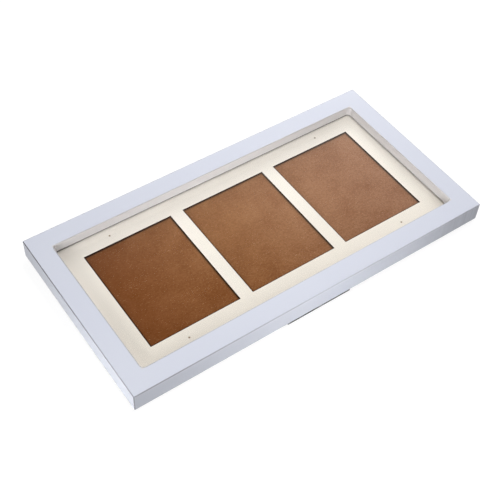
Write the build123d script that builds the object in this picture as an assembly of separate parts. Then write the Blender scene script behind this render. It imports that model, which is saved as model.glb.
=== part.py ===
"""Collage photo frame, lying on its back with its strut folded, as in the photograph.

Millimetres. +X runs along the long side, +Y from the bottom rail to the top rail, +Z out of the face.
The origin is at the centre of the footprint, on the surface that the folded strut rests on.
"""
from build123d import *
import os
from math import cos, radians, sin

# Frame: one piece of board with a sight opening in front and a rebate behind
frame_length = 406.0
frame_height = 206.0
rail_width = 21.0
rebate_wall = 14.0
lip_depth = 11.0
sight_corner_radius = 4.5
rebate_corner_radius = 3.0
outer_corner_radius = 0.8
outer_edge_break = 0.5
sight_edge_break = 0.4

# Sheets that fill the rebate, front to back
sheet_clearance = 0.4
glass_thickness = 2.0
mat_thickness = 1.6
board_thickness = 6.4

# Windows of the mat
window_count = 3
window_width = 98.2
window_height = 123.0
window_gap = 14.1
window_shift_x = 1.2
window_shift_y = 1.5
prick_radius = 0.45
prick_window_offset = 14.7

# Strut: a tapered leg, hinged to the board and held open by its own top edge
strut_thickness = 1.9
strut_gap = 0.9
strut_foot_width = 75.0
strut_top_width = 52.0
strut_corner_radius = 1.0
strut_foot_setback = 0.3
strut_opening_deg = 32.0
strut_stop_clearance = 0.05
strut_edge_break = 0.3

# Hinge of the strut
hinge_top_inset = 58.0
hinge_width = 34.0
hinge_tip_width = 22.0
leaf_length = 22.0
leaf_thickness = 0.6
leaf_corner_radius = 2.0
knuckle_count = 3
knuckle_gap = 0.3
pin_radius = 0.6
pin_running_clearance = 0.05
pin_head_radius = 0.95
pin_head_length = 0.5
barrel_board_gap = 0.2
barrel_notch_clearance = 0.5

# Fasteners of the hinge: two beside the barrel, one near the tip of each leaf
fastener_side_x = 10.5
fastener_near_y = 7.5
fastener_far_y = 17.0
hinge_screw_radius = 1.1
hinge_screw_head_radius = 2.2
hinge_screw_head_height = 0.9
hinge_screw_length = 5.5
screw_head_top_share = 0.6
rivet_radius = 1.2
rivet_head_radius = 2.1
pilot_clearance = 0.05

# Turn buttons: a pivot eye, an arm that reaches over the board, and a lifted finger tip
button_thickness = 1.0
button_eye_radius = 5.5
button_tip_radius = 4.0
button_reach = 14.0
button_lift = 1.0
button_lift_length = 3.0
button_running_clearance = 0.08
button_axial_clearance = 0.05
button_end_inset = 108.0
button_corner_inset = 53.0
button_screw_radius = 1.6
button_screw_head_radius = 3.2
button_screw_head_height = 1.1
button_screw_length = 13.0

# Sawtooth hangers on the top rail
hanger_end_inset = 53.0
hanger_length = 46.0
hanger_width = 9.0
hanger_thickness = 0.8
hanger_lift = 1.2
hanger_foot_length = 8.5
hanger_ramp_length = 2.2
hanger_corner_radius = 1.5
tooth_count = 9
tooth_pitch = 2.4
tooth_depth = 1.7
nail_radius = 0.7
nail_head_radius = 1.9
nail_head_height = 0.5
nail_length = 11.0
nail_head_top_share = 0.8
nail_inset = 4.2

# One length by which every cut runs past what it cuts
overrun = 5.0

# Levels: the strut's underside is the lowest plane of the part
z_back = strut_gap + strut_thickness
rebate_depth = glass_thickness + mat_thickness + board_thickness
z_lip = z_back + rebate_depth
z_face = z_lip + lip_depth
z_board_front = z_back + board_thickness
z_mat_front = z_board_front + mat_thickness

# Openings and sheet outlines
sight_length = frame_length - 2 * rail_width
sight_height = frame_height - 2 * rail_width
rebate_length = frame_length - 2 * rebate_wall
rebate_height = frame_height - 2 * rebate_wall
sheet_length = rebate_length - 2 * sheet_clearance
sheet_height = rebate_height - 2 * sheet_clearance
window_pitch = window_width + window_gap

# The pin pricks lie in the middle of the mat's visible border
prick_x = (window_count - 1) / 2 * window_pitch + prick_window_offset
prick_y = (window_height + sight_height) / 4

# Hinge barrel and the strut that swings about it
hinge_y = frame_height / 2 - hinge_top_inset
knuckle_bore = pin_radius + pin_running_clearance
knuckle_radius = knuckle_bore + leaf_thickness
hinge_drop = barrel_board_gap + knuckle_radius
z_hinge = z_back - hinge_drop
knuckle_pitch = hinge_width / knuckle_count
opening = radians(strut_opening_deg)
stop_reach = hinge_drop - strut_stop_clearance
strut_overhang = (stop_reach - (hinge_drop - strut_gap) * cos(opening)) / sin(opening)
fastener_spots = [(-fastener_side_x, fastener_near_y), (fastener_side_x, fastener_near_y), (0, fastener_far_y)]

# Turn buttons pivot in the middle of the rebate wall: name, place and the way the arm points when shut
wall_centre_x = frame_length / 2 - rebate_wall / 2
wall_centre_y = frame_height / 2 - rebate_wall / 2
button_x = frame_length / 2 - button_end_inset
button_y = frame_height / 2 - button_corner_inset
hanger_x = frame_length / 2 - hanger_end_inset
turn_buttons = [
    ("turn_button_top_left", -button_x, wall_centre_y, 270),
    ("turn_button_top_right", button_x, wall_centre_y, 270),
    ("turn_button_bottom_left", -button_x, -wall_centre_y, 90),
    ("turn_button_bottom_right", button_x, -wall_centre_y, 90),
    ("turn_button_left_upper", -wall_centre_x, button_y, 0),
    ("turn_button_left_lower", -wall_centre_x, -button_y, 0),
    ("turn_button_right_upper", wall_centre_x, button_y, 180),
    ("turn_button_right_lower", wall_centre_x, -button_y, 180),
]
hangers = [("hanger_left", -hanger_x), ("hanger_right", hanger_x)]
nail_offset = hanger_length / 2 - nail_inset


def slab(outline, z_low, z_high):
    """A flat outline drawn on the XY plane, made solid between two levels."""
    return extrude(Plane.XY.offset(z_low) * outline, z_high - z_low)


def rounded_slab(length, height, radius, z_low, z_high):
    return slab(RectangleRounded(length, height, radius), z_low, z_high)


def peg(x, y, radius, z_low, z_high):
    return slab(Pos(x, y) * Circle(radius), z_low, z_high)


def fastener(x, y, z_seat, shank_radius, shank_length, head_radius, head_height, head_top_share):
    """Driven upwards into the back: a head with sloping sides under z_seat, a plain shank above it."""
    half_section = Polyline(
        (0, -head_height), (head_radius * head_top_share, -head_height), (head_radius, 0),
        (shank_radius, 0), (shank_radius, shank_length), (0, shank_length), close=True,
    )
    return Pos(x, y, z_seat) * revolve(make_face(Plane.XZ * half_section), Axis.Z)


def at_face_corner(edge_z, part):
    return part.edges().filter_by_position(Axis.Z, edge_z, edge_z)


def frame_body():
    """Board routed from both sides: the sight opening from the front, the rebate from the back."""
    body = rounded_slab(frame_length, frame_height, outer_corner_radius, z_back, z_face)
    body = chamfer(at_face_corner(z_face, body), outer_edge_break)
    body -= rounded_slab(sight_length, sight_height, sight_corner_radius, z_back - overrun, z_face + overrun)
    inner_edges = [
        edge for edge in at_face_corner(z_face, body)
        if abs(edge.center().X) < sight_length / 2 + sight_edge_break
        and abs(edge.center().Y) < sight_height / 2 + sight_edge_break
    ]
    body = chamfer(inner_edges, sight_edge_break)
    body -= rounded_slab(rebate_length, rebate_height, rebate_corner_radius, z_back - overrun, z_lip)
    for name, x, y, facing in turn_buttons:
        body -= peg(x, y, button_screw_radius + pilot_clearance, z_back - overrun, z_back + button_screw_length)
    for name, x in hangers:
        for side in (-1, 1):
            body -= peg(x + side * nail_offset, wall_centre_y, nail_radius + pilot_clearance,
                        z_back - overrun, z_back + nail_length)
    return body


def sheet(z_low, z_high):
    return rounded_slab(sheet_length, sheet_height, rebate_corner_radius, z_low, z_high)


def window_mat():
    mat = sheet(z_board_front, z_mat_front)
    for index in range(window_count):
        x = window_shift_x + (index - (window_count - 1) / 2) * window_pitch
        mat -= slab(Pos(x, window_shift_y) * Rectangle(window_width, window_height),
                    z_board_front - overrun, z_mat_front + overrun)
    for side_x in (-1, 1):
        for side_y in (-1, 1):
            mat -= peg(window_shift_x + side_x * prick_x, window_shift_y + side_y * prick_y, prick_radius,
                       z_board_front - overrun, z_mat_front + overrun)
    return mat


def backboard():
    board = sheet(z_back, z_board_front)
    for x, reach in fastener_spots:
        board -= peg(x, hinge_y + reach, hinge_screw_radius + pilot_clearance,
                     z_back - overrun, z_back + hinge_screw_length)
    return board


def leaf_outline(direction):
    """Tapered leaf from the barrel outwards; direction is +1 towards the top rail, -1 towards the foot."""
    tip_y = hinge_y + direction * leaf_length
    corners = [
        (-hinge_width / 2, hinge_y), (hinge_width / 2, hinge_y),
        (hinge_tip_width / 2, tip_y), (-hinge_tip_width / 2, tip_y),
    ]
    outline = make_face(Polyline(*corners, close=True))
    tips = outline.vertices().sort_by(Axis.Y)
    tips = tips[-2:] if direction > 0 else tips[:2]
    return fillet(tips, leaf_corner_radius)


def knuckle_spans(first):
    """The stretches of X that belong to every second knuckle, starting at the given one."""
    spans = []
    for index in range(first, knuckle_count, 2):
        low = -hinge_width / 2 + index * knuckle_pitch
        high = low + knuckle_pitch
        low += knuckle_gap / 2 if index > 0 else 0
        high -= knuckle_gap / 2 if index < knuckle_count - 1 else 0
        spans.append((low, high))
    return spans


def along_x(radius, low, high):
    """A round bar on the hinge axis."""
    return extrude(Plane((low, hinge_y, z_hinge), x_dir=(0, 1, 0), z_dir=(1, 0, 0)) * Circle(radius), high - low)


def hinge_leaf(direction, own_first, z_low, z_high):
    """A leaf with its rolled knuckles, cut clear of the other leaf's knuckles."""
    leaf = slab(leaf_outline(direction), z_low, z_high)
    for low, high in knuckle_spans(1 - own_first):
        clear = knuckle_radius + knuckle_gap
        leaf -= Pos((low + high) / 2, hinge_y, z_hinge) * Box(high - low + 2 * knuckle_gap, 2 * clear, 2 * overrun)
    for low, high in knuckle_spans(own_first):
        leaf += along_x(knuckle_radius, low, high)
    leaf -= along_x(knuckle_bore, -hinge_width, hinge_width)
    return leaf


def hinge_board_leaf():
    leaf = hinge_leaf(1, 0, z_back - leaf_thickness, z_back)
    for x, reach in fastener_spots:
        leaf -= peg(x, hinge_y + reach, hinge_screw_radius + pilot_clearance, z_back - overrun, z_back + overrun)
    return leaf


def rivet_shape(x, reach, clearance):
    """A flush rivet through strut and leaf, countersunk in the strut."""
    z_head = z_back - strut_gap - strut_thickness
    z_tail = z_back - strut_gap + leaf_thickness
    head_cone = rivet_head_radius - rivet_radius
    half_section = Polyline(
        (0, z_head), (rivet_head_radius + clearance, z_head), (rivet_radius + clearance, z_head + head_cone),
        (rivet_radius + clearance, z_tail), (0, z_tail), close=True,
    )
    return Pos(x, hinge_y - reach) * revolve(make_face(Plane.XZ * half_section), Axis.Z)


def hinge_strut_leaf():
    z_seat = z_back - strut_gap
    leaf = hinge_leaf(-1, 1, z_seat, z_seat + leaf_thickness)
    for x, reach in fastener_spots:
        leaf -= rivet_shape(x, reach, pilot_clearance)
    return leaf


def hinge_pin():
    half = hinge_width / 2
    pin = along_x(pin_radius, -half, half)
    for low in (-half - pin_head_length, half):
        pin += along_x(pin_head_radius, low, low + pin_head_length)
    return pin


def strut():
    """Tapered leg. Its shoulders beside the barrel meet the board when it is fully open."""
    foot_y = -frame_height / 2 + strut_foot_setback
    top_y = hinge_y + strut_overhang
    outline = make_face(Polyline(
        (-strut_foot_width / 2, foot_y), (strut_foot_width / 2, foot_y),
        (strut_top_width / 2, top_y), (-strut_top_width / 2, top_y), close=True,
    ))
    outline = fillet(outline.vertices().sort_by(Axis.Y)[:2], strut_corner_radius)
    z_inner = z_back - strut_gap
    leg = slab(outline, z_inner - strut_thickness, z_inner)
    notch_half = hinge_width / 2 + pin_head_length + barrel_notch_clearance
    notch_low = hinge_y - knuckle_radius - barrel_notch_clearance
    leg -= slab(Pos(0, (notch_low + top_y + overrun) / 2) * Rectangle(2 * notch_half, top_y + overrun - notch_low),
                z_inner - strut_thickness - overrun, z_inner + overrun)
    leg = chamfer(at_face_corner(z_inner - strut_thickness, leg), strut_edge_break)
    for x, reach in fastener_spots:
        leg -= rivet_shape(x, reach, pilot_clearance)
    return leg


def turn_button(x, y, facing):
    """Pressed steel: a side profile with a lifted tip, trimmed to the plan of eye, arm and tip."""
    z_top = -button_axial_clearance
    reach_end = button_reach + button_tip_radius
    bend = reach_end - button_lift_length
    side = Polyline(
        (-button_eye_radius, z_top), (bend, z_top), (reach_end, z_top - button_lift),
        (reach_end, z_top - button_lift - button_thickness), (bend, z_top - button_thickness),
        (-button_eye_radius, z_top - button_thickness), close=True,
    )
    strip = extrude(make_face(Plane.XZ * side), button_eye_radius, both=True)
    eye = Circle(button_eye_radius)
    tip = Pos(button_reach, 0) * Circle(button_tip_radius)
    plan = make_hull([*eye.edges(), *tip.edges()])
    button = strip & slab(plan, -overrun, overrun)
    button -= peg(0, 0, button_screw_radius + button_running_clearance, -overrun, overrun)
    return Pos(x, y, z_back) * Rot(0, 0, facing) * button


def turn_button_screws():
    z_seat = z_back - button_thickness - 2 * button_axial_clearance
    return [
        fastener(x, y, z_seat, button_screw_radius, button_screw_length,
                 button_screw_head_radius, button_screw_head_height, screw_head_top_share)
        for name, x, y, facing in turn_buttons
    ]


def hinge_screws():
    z_seat = z_back - leaf_thickness
    return [
        fastener(x, hinge_y + reach, z_seat, hinge_screw_radius, hinge_screw_length,
                 hinge_screw_head_radius, hinge_screw_head_height, screw_head_top_share)
        for x, reach in fastener_spots
    ]


def hanger(x):
    """Pressed strip with flat feet and a raised bar; its lower edge is cut into teeth."""
    half = hanger_length / 2
    foot = half - hanger_foot_length
    ramp = foot - hanger_ramp_length
    upper = [(-half, 0), (-foot, 0), (-ramp, -hanger_lift), (ramp, -hanger_lift), (foot, 0), (half, 0)]
    lower = [(px, pz - hanger_thickness) for px, pz in reversed(upper)]
    strip = extrude(make_face(Plane.XZ * Polyline(*upper, *lower, close=True)), hanger_width / 2, both=True)
    strip &= slab(RectangleRounded(hanger_length, hanger_width, hanger_corner_radius), -overrun, overrun)
    for index in range(tooth_count):
        middle = (index - (tooth_count - 1) / 2) * tooth_pitch
        valley = Polyline(
            (middle - tooth_pitch / 2, -hanger_width / 2), (middle + tooth_pitch / 2, -hanger_width / 2),
            (middle, -hanger_width / 2 + tooth_depth), close=True,
        )
        strip -= slab(make_face(valley), -overrun, overrun)
    for side in (-1, 1):
        strip -= peg(side * nail_offset, 0, nail_radius + pilot_clearance, -overrun, overrun)
    return Pos(x, wall_centre_y, z_back) * strip


def hanger_nails():
    z_seat = z_back - hanger_thickness
    return [
        fastener(x + side * nail_offset, wall_centre_y, z_seat, nail_radius, nail_length,
                 nail_head_radius, nail_head_height, nail_head_top_share)
        for name, x in hangers for side in (-1, 1)
    ]


def main():
    nodes = {
        "frame_body": frame_body(),
        "glass_pane": sheet(z_mat_front, z_lip),
        "window_mat": window_mat(),
        "backboard": backboard(),
        "hinge_board_leaf": hinge_board_leaf(),
        "hinge_strut_leaf": hinge_strut_leaf(),
        "hinge_pin": hinge_pin(),
        "hinge_screws": Compound(hinge_screws()),
        "hinge_rivets": Compound([rivet_shape(x, reach, 0) for x, reach in fastener_spots]),
        "strut": strut(),
        "turn_button_screws": Compound(turn_button_screws()),
        "hanger_nails": Compound(hanger_nails()),
    }
    for name, x, y, facing in turn_buttons:
        nodes[name] = turn_button(x, y, facing)
    for name, x in hangers:
        nodes[name] = hanger(x)
    os.makedirs("parts", exist_ok=True)
    for name, shape in nodes.items():
        export_step(shape, f"parts/{name}.step")


main()
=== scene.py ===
# %% [markdown]
# # A collage photo frame with three windows
# The frame lies on its back on a white table, with its strut folded away underneath. Its pieces,
# their sizes and their hinges come from a CAD model, which this script loads and never moves.
# What is made here is what the eye reads as real: soft paint edges, paper, glass, pressed
# hardboard, plated steel, and the light on them.

# %% Load the CAD model
import bmesh
import bpy
from math import cos, pi, radians, sin
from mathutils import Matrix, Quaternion, Vector


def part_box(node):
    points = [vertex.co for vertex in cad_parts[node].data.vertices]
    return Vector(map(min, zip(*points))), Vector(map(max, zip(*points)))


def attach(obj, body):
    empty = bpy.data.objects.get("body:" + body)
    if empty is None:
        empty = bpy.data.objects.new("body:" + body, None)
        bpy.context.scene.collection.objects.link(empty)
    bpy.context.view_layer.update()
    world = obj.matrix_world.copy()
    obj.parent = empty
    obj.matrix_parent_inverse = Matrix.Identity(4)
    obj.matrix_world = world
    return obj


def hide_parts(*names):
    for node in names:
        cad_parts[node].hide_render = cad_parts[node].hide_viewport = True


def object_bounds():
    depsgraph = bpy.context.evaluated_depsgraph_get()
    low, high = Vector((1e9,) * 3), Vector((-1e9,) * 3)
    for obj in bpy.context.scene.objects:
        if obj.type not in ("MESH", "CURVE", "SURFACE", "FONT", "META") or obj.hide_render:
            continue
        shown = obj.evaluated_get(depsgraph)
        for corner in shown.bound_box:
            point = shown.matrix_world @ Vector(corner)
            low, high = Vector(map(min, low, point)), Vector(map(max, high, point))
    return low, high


MM = 0.001
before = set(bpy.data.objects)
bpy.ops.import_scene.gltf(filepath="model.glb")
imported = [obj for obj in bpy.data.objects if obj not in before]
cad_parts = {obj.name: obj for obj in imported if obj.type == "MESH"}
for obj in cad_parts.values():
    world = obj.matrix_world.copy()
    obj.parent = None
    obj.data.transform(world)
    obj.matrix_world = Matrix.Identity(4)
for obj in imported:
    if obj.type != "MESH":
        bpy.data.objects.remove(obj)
cad_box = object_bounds()
print("CAD box in mm:", [round(c / MM, 1) for corner in cad_box for c in corner])

# %% [markdown]
# ## Node trees written as sums
# Materials, the world and Geometry Nodes are all trees of nodes. Adding each node and each link by
# hand takes four lines for one multiplication. One small class can stand for an output socket
# instead, and overload the operators, so that a mask is written as `1 - mask * 0.5` and the Math
# nodes appear by themselves. Every other node comes from one method, `add`, which takes the
# node's type, its settings and what goes into its sockets.

# %% A socket that does arithmetic
class Signal:
    """One output socket of a node. Arithmetic on it adds Math nodes to the same tree."""

    def __init__(self, tree, socket):
        self.tree = tree
        self.socket = socket

    def out(self, name):
        """Another output of the same node."""
        return Signal(self.tree, self.socket.node.outputs[name])

    def math(self, operation, *terms):
        return self.tree.add("ShaderNodeMath", {"operation": operation}, dict(enumerate(terms)))

    def __add__(self, other):
        return self.math("ADD", self, other)

    def __sub__(self, other):
        return self.math("SUBTRACT", self, other)

    def __rsub__(self, other):
        return self.math("SUBTRACT", other, self)

    def __mul__(self, other):
        return self.math("MULTIPLY", self, other)

    def __truediv__(self, other):
        return self.math("DIVIDE", self, other)

    __radd__ = __add__
    __rmul__ = __mul__

    def __abs__(self):
        return self.math("ABSOLUTE", self)

    def fraction(self):
        return self.math("FRACT", self)

    def root(self):
        return self.math("SQRT", self)

    def most(self, other):
        return self.math("MAXIMUM", self, other)

    def least(self, other):
        return self.math("MINIMUM", self, other)


# %% A tree that takes nodes
class Tree:
    """A node tree that is being written. Nodes are laid out in the order they are added."""

    COLUMN_WIDTH = 200
    ROW_HEIGHT = 260
    ROWS = 5

    def __init__(self, node_tree):
        self.nodes = node_tree.nodes
        self.links = node_tree.links
        self.nodes.clear()

    def add(self, kind, settings=None, sockets=None):
        """Adds a node, and gives its first enabled output as a Signal."""
        column, row = divmod(len(self.nodes), self.ROWS)
        node = self.nodes.new(kind)
        node.location = (column * self.COLUMN_WIDTH, -row * self.ROW_HEIGHT)
        for name, value in (settings or {}).items():
            setattr(node, name, value)
        for name, value in (sockets or {}).items():
            self.feed(node.inputs[name], value)
        shown = [socket for socket in node.outputs if socket.enabled]
        return Signal(self, shown[0]) if shown else None

    def feed(self, socket, value):
        """Links a Signal, or each of a list of them, or sets a plain value."""
        if isinstance(value, Signal):
            self.links.new(value.socket, socket)
        elif isinstance(value, list):
            for signal in value:
                self.links.new(signal.socket, socket)
        elif socket.type == "RGBA":
            socket.default_value = (*value, 1.0)
        else:
            socket.default_value = value

    def blend(self, mask, first, second):
        """A colour between two, by a mask from 0 to 1."""
        mixed = {"Factor": mask, 6: first, 7: second}
        return self.add("ShaderNodeMix", {"data_type": "RGBA"}, mixed)

    def either(self, mask, first, second):
        """The first shader where the mask is 0, and the second where it is 1."""
        return self.add("ShaderNodeMixShader", {}, {"Fac": mask, 1: first, 2: second})

    def parts(self, vector):
        """The X, Y and Z of a vector."""
        split = self.add("ShaderNodeSeparateXYZ", {}, {"Vector": vector})
        return [split.out(axis) for axis in "XYZ"]

    def vector(self, **parts):
        """A vector from any of its X, Y and Z. The others are 0."""
        return self.add("ShaderNodeCombineXYZ", {}, parts)

    def place(self):
        """Where a point of the surface lies in the object's own space, in metres."""
        return self.add("ShaderNodeTexCoord").out("Object")

    def facing(self):
        """How far the surface faces up (1), sideways (0) or down (-1) in the object's own space."""
        return self.parts(self.add("ShaderNodeTexCoord").out("Normal"))[2]

    def stretch(self, vector, scale, turn=0.0):
        """The same pattern space, turned about Z and scaled along each axis."""
        sockets = {"Vector": vector, "Scale": scale, "Rotation": (0, 0, turn)}
        return self.add("ShaderNodeMapping", {}, sockets)

    def grain(self, vector, size, detail=2.0, distortion=0.0):
        """Soft noise from 0 to 1 with lumps of about the given size."""
        sockets = {"Vector": vector, "Scale": 1 / size, "Detail": detail, "Distortion": distortion}
        return self.add("ShaderNodeTexNoise", {}, sockets)

    def strands(self, vector, shape, size, turn=0.0, detail=2.0):
        """Soft noise that is stretched by a shape and turned about Z."""
        return self.grain(self.stretch(vector, shape, turn), size, detail)

    def cells(self, vector, size):
        """Distance from the middle of the nearest cell of a random pattern of the given size."""
        return self.add("ShaderNodeTexVoronoi", {}, {"Vector": vector, "Scale": 1 / size})

    def step(self, signal, low, high):
        """0 below low, 1 above high, and a straight rise between them."""
        sockets = {"Value": signal, "From Min": low, "From Max": high}
        return self.add("ShaderNodeMapRange", {}, sockets)

    def bump(self, height, depth, strength):
        """A surface normal from a height of 0 to 1 that stands for the given depth."""
        sockets = {"Height": height, "Distance": depth, "Strength": strength}
        return self.add("ShaderNodeBump", {}, sockets)

    def principled(self, **sockets):
        """The shader of a solid surface. Underscores in a name stand for spaces."""
        named = {name.replace("_", " "): value for name, value in sockets.items()}
        return self.add("ShaderNodeBsdfPrincipled", {}, named)


# %% A material from a function
def new_material(name, surface):
    """A material whose shader is what the given function builds in its tree."""
    material = bpy.data.materials.new(name)
    material.use_nodes = True
    tree = Tree(material.node_tree)
    tree.add("ShaderNodeOutputMaterial", {}, {"Surface": surface(tree)})
    print("material", name, "with", len(tree.nodes), "nodes")
    return material


# %% [markdown]
# ## The camera
# The photograph looks down on the frame from beyond its near left corner, from about a metre away.
# A camera has a place, a point that it looks at, and a roll about the line between them. With
# those three the view can be checked against the photograph one at a time, which is
# harder with three Euler angles. The lens is given for a full-size sensor of 36 mm.

# %% Camera
LENS_MM = 69.73
SENSOR_MM = 36.0
CAMERA_PLACE = Vector((-0.39182, -0.48775, 0.74141))
AIM_X = -27.0 * MM
AIM_Y = -24.5 * MM
CAMERA_ROLL = radians(3.99)
NEAREST_SEEN = 0.01
FARTHEST_SEEN = 50.0

scene = bpy.context.scene
scene.view_settings.view_transform = "Standard"


def put(name, data):
    """A new object at the origin of the scene."""
    thing = bpy.data.objects.new(name, data)
    scene.collection.objects.link(thing)
    return thing


def make_camera():
    camera = put("camera", bpy.data.cameras.new("camera"))
    camera.data.lens = LENS_MM
    camera.data.sensor_width = SENSOR_MM
    camera.data.clip_start = NEAREST_SEEN
    camera.data.clip_end = FARTHEST_SEEN
    target = Vector((AIM_X, AIM_Y, cad_box[1].z))
    forward = (target - CAMERA_PLACE).normalized()
    level = forward.to_track_quat("-Z", "Y")
    camera.rotation_mode = "QUATERNION"
    camera.rotation_quaternion = Quaternion(forward, -CAMERA_ROLL) @ level
    camera.location = CAMERA_PLACE
    print("camera", round((target - CAMERA_PLACE).length / MM), "mm from the face")
    return camera


scene.camera = make_camera()

# %% [markdown]
# ## The table and the room
# In the photograph the table and the room behind it are pure white, while the frame itself is lit
# softly. A brighter lamp would also bleach the frame, so the white is made by asking each ray what
# it is for. Light Path says whether a ray comes from the camera. Those rays see a white room, and
# the ones that show a reflection see pale walls. All others see the dimmer room that lights the
# frame. The ceiling is darker than the walls, and the glass mirrors it near its left end.

# %% Room
ROOM_LIGHT = 0.22
WALL_WHITE = 0.7
CEILING_GREY = 0.02
WALLS_END = sin(radians(38))
CEILING_STARTS = sin(radians(53))


def seen_ray(tree):
    """1 for rays that show something to the camera, directly, in a mirror or through glass."""
    rays = tree.add("ShaderNodeLightPath")
    mirrored = rays.out("Is Glossy Ray").most(rays.out("Is Transmission Ray"))
    return rays.out("Is Camera Ray").most(mirrored)


def make_room():
    world = bpy.data.worlds.new("studio room")
    world.use_nodes = True
    tree = Tree(world.node_tree)
    direction = tree.add("ShaderNodeTexCoord").out("Generated")
    ceiling = tree.step(tree.parts(direction)[2], WALLS_END, CEILING_STARTS)
    mirrored = WALL_WHITE - ceiling * (WALL_WHITE - CEILING_GREY)
    seen_straight = tree.add("ShaderNodeLightPath").out("Is Camera Ray")
    shown = seen_straight.most(mirrored)
    seen = seen_ray(tree)
    strength = seen * shown + (1 - seen) * ROOM_LIGHT
    background = tree.add("ShaderNodeBackground", {}, {"Color": (1, 1, 1), "Strength": strength})
    tree.add("ShaderNodeOutputWorld", {}, {"Surface": background})
    return world


scene.world = make_room()

# %% [markdown]
# The table is one large square. From above it glows white to the camera, and a share of plain
# matt white on top of the glow keeps the frame's soft shadow. To rays that light the frame it is an
# even pale surface, which fills the frame's sides from below. Seen from underneath it is clear,
# so that the back of the frame, with its hinge and its turn buttons, can be looked at too.
# The table lies a tenth of a millimetre low, because the strut's underside would otherwise share
# its plane, and a ray can't tell which of two such surfaces it met first.

# %% Table
TABLE_HALF = 4.0
TABLE_DROP = 0.1 * MM
TABLE_GLOW = 0.90
TABLE_MATT = 0.15
TABLE_LIGHT = 0.12


def table_surface(tree):
    glow, fill = [tree.add("ShaderNodeEmission", {}, {"Color": (1, 1, 1), "Strength": strength})
                  for strength in (TABLE_GLOW, TABLE_LIGHT)]
    matt = tree.add("ShaderNodeBsdfDiffuse", {}, {"Color": (TABLE_MATT,) * 3})
    shown = tree.add("ShaderNodeAddShader", {}, {0: glow, 1: matt})
    clear = tree.add("ShaderNodeBsdfTransparent")
    above = tree.either(seen_ray(tree), fill, shown)
    below = tree.add("ShaderNodeNewGeometry").out("Backfacing")
    return tree.either(below, above, clear)


def make_table():
    signs = ((-1, -1), (1, -1), (1, 1), (-1, 1))
    corners = [(x * TABLE_HALF, y * TABLE_HALF, -TABLE_DROP) for x, y in signs]
    mesh = bpy.data.meshes.new("table")
    mesh.from_pydata(corners, [], [(0, 1, 2, 3)])
    mesh.materials.append(new_material("white table", table_surface))
    table = put("table", mesh)


make_table()

# %% [markdown]
# ## The lamps
# Most of the light comes low over the table from two broad lamps, one behind the frame and one at
# the near left, with two weaker ones higher up. Low light makes the face darken toward the near
# left, as in the photograph. The two sides that face the camera are lit by small lamps with a
# honeycomb grid, which narrows the beam, so each side is brightest in one place. A lamp's power is
# worked out from how bright a white sheet in its light should look, a number between 0 and 1.

# %% Lamps
OPEN_BEAM = 180
GRID_BEAM = 30
LAMPS = {
    # name: (place, what it points at, size, beam in degrees, brightness on a sheet that faces it)
    "low back lamp": ((0.674, 0.999, 0.487), (0, 0, 0), 0.6, OPEN_BEAM, 0.69),
    "high back lamp": ((0.672, 0.672, 0.887), (0, 0, 0), 0.5, OPEN_BEAM, 0.196),
    "left lamp": ((-0.970, -0.715, 0.487), (0, 0, 0), 0.6, OPEN_BEAM, 0.55),
    "overhead lamp": ((0.249, 0, 1.174), (0, 0, 0), 0.2, OPEN_BEAM, 0.32),
    "near grid lamp": ((0, -0.844, 0.129), (0, -0.103, 0.012), 0.10, GRID_BEAM, 0.016),
    "left grid lamp": ((-0.796, -0.080, 0.106), (-0.203, -0.080, 0.012), 0.08, GRID_BEAM, 0.0165),
}


def make_lamp(name, place, aim, size, beam, brightness):
    beam_line = Vector(aim) - Vector(place)
    lamp = bpy.data.lights.new(name, "AREA")
    lamp.shape = "SQUARE"
    lamp.size = size
    lamp.spread = radians(beam)
    lamp.energy = brightness * pi ** 2 * beam_line.length_squared
    stand = put(name, lamp)
    stand.location = place
    stand.rotation_mode = "QUATERNION"
    stand.rotation_quaternion = beam_line.to_track_quat("-Z", "Y")
    stand.visible_glossy = False
    stand.visible_transmission = False
    print(name, "at", round(lamp.energy, 2), "W")


for lamp_name, lamp_values in LAMPS.items():
    make_lamp(lamp_name, *lamp_values)

# %% [markdown]
# ## Finish 1: satin white paint
# The frame is one board of fine fibreboard, sprayed white with a bluish cast. Sprayed paint is never
# quite flat: it dries with a fine ripple that painters call orange peel, with a dust nib
# here and there, and it is thin on the arrises, where the board under it shows as a darker
# line. The ripple is noise about a millimetre across that feeds a Bump node. The dark marks
# read two attributes that the frame's own mesh carries, because the script that makes the mesh
# knows where its edges are: one for thin paint on the arrises, and one for the painted shade
# along the foot of the lip, where it meets the glass. On the left rail and on the near one the
# arris line is darker still, and that extra darkness is painted shade. The walls of the opening
# are painted warmer, as painted light reflected from the warm mat, and the near side has a few
# upright streaks at its right end.

# %% Satin white paint
PAINT_WHITE = (0.633, 0.654, 0.733)
PAINT_SHADE = (0.608, 0.629, 0.717)
# Painted warm light that the mat reflects onto the walls of the opening.
PAINT_MAT_BOUNCE = (0.64, 0.625, 0.63)
PAINT_STREAK = (0.33, 0.335, 0.38)
# Near black: the board under thin paint on the arrises, and painted shade on the near and left rails and
# along the foot of the lip.
BARE_BOARD_AND_SHADE = (0.09, 0.084, 0.088)
SPRAY_CLOUD = 70 * MM
PEEL_SIZE = 1.3 * MM
PEEL_DEPTH = 0.05 * MM
PEEL_HEIGHT = 0.25  # beside 1 for a nib
NIB_SPACING = 16 * MM
NIB_EDGE = (0.008, 0.022)  # from the middle of a nib, as shares of the spacing
STREAK_SIZE = 3 * MM
STREAK_SHAPE = (1, 1, 0.04)
STREAK_EDGE = (0.35, 0.65)
STREAK_STRENGTH = 0.35
# Painted shade on the arrises of the near and left rails, on top of their thin paint.
NEAR_RAIL_SHADE = (0.25, 0.3)  # the least share of painted shade, and how much more there is at the darker end
LEFT_RAIL_SHADE = (0.5, 0.4)
THIN_ELSEWHERE = 0.25
CORNER_WEAR = 0.8
# The painted shade along the foot of the lip is this much lighter on the right wall.
RIGHT_FOOT_LIGHTER = 0.5
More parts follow.
